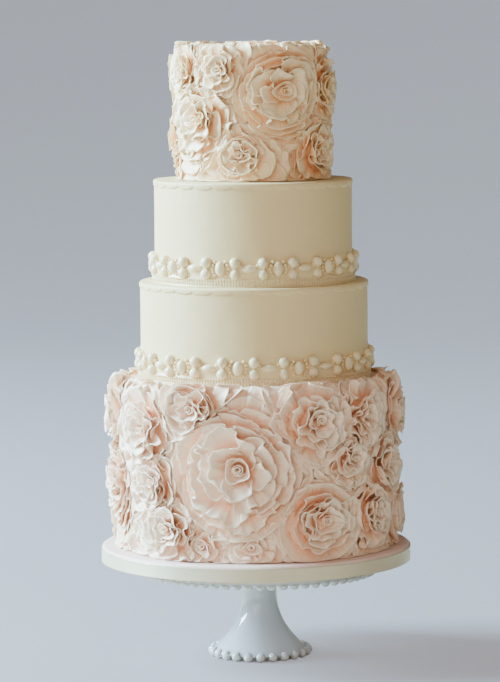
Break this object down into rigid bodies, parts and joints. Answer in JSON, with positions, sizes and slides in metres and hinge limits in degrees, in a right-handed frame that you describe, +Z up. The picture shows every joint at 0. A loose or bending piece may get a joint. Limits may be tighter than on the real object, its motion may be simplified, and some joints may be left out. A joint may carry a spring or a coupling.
{
  "type": "tiered wedding cake",
  "caption": "Round tiered wedding cake with sugar-paste roses on its lowest and highest tiers, plain tiers with pearl borders between, on an iced board and a glass pedestal stand.",
  "frame": {"origin": "on the surface that the stand rests on, below the centre of the cake board", "axes": "+Z up the cake; the front, which the picture shows, faces -Y; +X is to the right as seen from the front"},
  "size_m": [0.311, 0.311, 0.6159],
  "materials": {
    "milk_glass": "glossy opaque milk glass",
    "board_icing": "smooth matte icing, pale blush",
    "satin_ribbon": "ivory satin",
    "ruffle_icing": "thin rolled sugar paste, pale blush, peach in the folds",
    "plain_icing": "smooth satin-matte icing, ivory",
    "sugar_pearls": "moulded sugar pearls with a pearly sheen, ivory"
  },
  "bodies": {
    "root": {"pedestal_stand": "milk_glass", "cake_board": "board_icing", "board_ribbon": "satin_ribbon", "bottom_tier": "ruffle_icing", "bottom_rose_01": "ruffle_icing", "bottom_rose_02": "ruffle_icing", "bottom_rose_03": "ruffle_icing", "bottom_rose_04": "ruffle_icing", "bottom_rose_05": "ruffle_icing", "bottom_rose_06": "ruffle_icing", "bottom_rose_07": "ruffle_icing", "bottom_rose_08": "ruffle_icing", "bottom_rose_09": "ruffle_icing", "bottom_rose_10": "ruffle_icing", "bottom_rose_11": "ruffle_icing", "bottom_rose_12": "ruffle_icing", "bottom_rose_13": "ruffle_icing", "bottom_rose_14": "ruffle_icing", "bottom_rose_15": "ruffle_icing", "bottom_rose_16": "ruffle_icing", "bottom_rose_17": "ruffle_icing", "bottom_rose_18": "ruffle_icing", "bottom_rose_19": "ruffle_icing", "bottom_rose_20": "ruffle_icing", "bottom_rose_21": "ruffle_icing", "bottom_rose_22": "ruffle_icing", "bottom_rose_23": "ruffle_icing", "bottom_rose_24": "ruffle_icing", "bottom_rose_25": "ruffle_icing", "bottom_rose_26": "ruffle_icing", "bottom_rose_27": "ruffle_icing", "bottom_rose_28": "ruffle_icing", "lower_plain_tier": "plain_icing", "lower_pearl_border": "sugar_pearls", "upper_plain_tier": "plain_icing", "upper_pearl_border": "sugar_pearls", "top_tier": "ruffle_icing", "top_rose_01": "ruffle_icing", "top_rose_02": "ruffle_icing", "top_rose_03": "ruffle_icing", "top_rose_04": "ruffle_icing", "top_rose_05": "ruffle_icing", "top_rose_06": "ruffle_icing", "top_rose_07": "ruffle_icing", "top_rose_08": "ruffle_icing", "top_rose_09": "ruffle_icing", "top_rose_10": "ruffle_icing", "top_rose_11": "ruffle_icing", "top_rose_12": "ruffle_icing", "top_rose_13": "ruffle_icing"}
  },
  "joints": []
}
